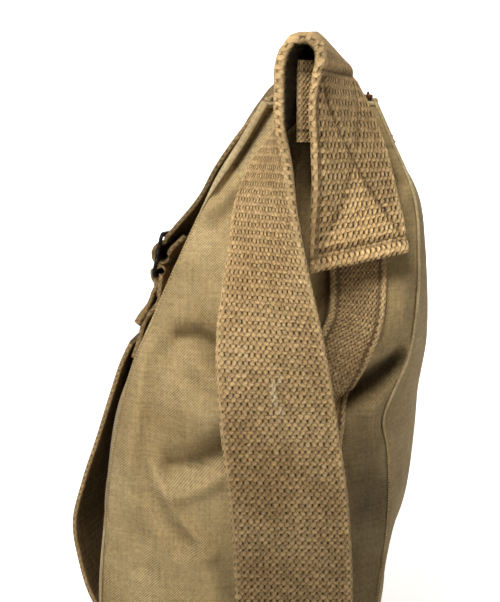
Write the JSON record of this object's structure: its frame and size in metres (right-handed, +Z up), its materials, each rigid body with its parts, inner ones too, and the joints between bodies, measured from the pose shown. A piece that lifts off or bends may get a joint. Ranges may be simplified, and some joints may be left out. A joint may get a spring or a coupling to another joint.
{
  "type": "canvas shoulder bag",
  "caption": "Khaki canvas shoulder bag standing on its base, with a heavy webbing shoulder strap hanging beside both gussets, an open zip mouth and a buckled closing strap over the front.",
  "frame": {"origin": "bottom centre of the standing bag's box, on the surface it stands on", "axes": "+Z up, front with the closing strap towards -Y, the gusset seen in the picture towards +X"},
  "size_m": [0.4406, 0.2067, 0.3616],
  "materials": {
    "canvas": "matt cotton canvas",
    "webbing": "matt heavy cotton webbing with a bumpy weave",
    "tape": "matt narrow cotton webbing",
    "buckle": "blackened, satin",
    "zip": "aged copper brown"
  },
  "bodies": {
    "root": {"front_panel": "canvas", "back_panel": "canvas", "gusset_right": "canvas", "gusset_left": "canvas", "base_panel": "canvas", "shoulder_strap": "webbing", "strap_backing_right": "webbing", "strap_backing_left": "webbing", "gusset_tape_right": "tape", "gusset_tape_left": "tape", "closing_strap_upper": "webbing", "buckle_loop": "webbing", "closing_strap_lower": "webbing", "buckle": "buckle", "zip_front": "zip", "zip_back": "zip", "zip_slider": "zip", "zip_ring": "zip"}
  },
  "joints": []
}
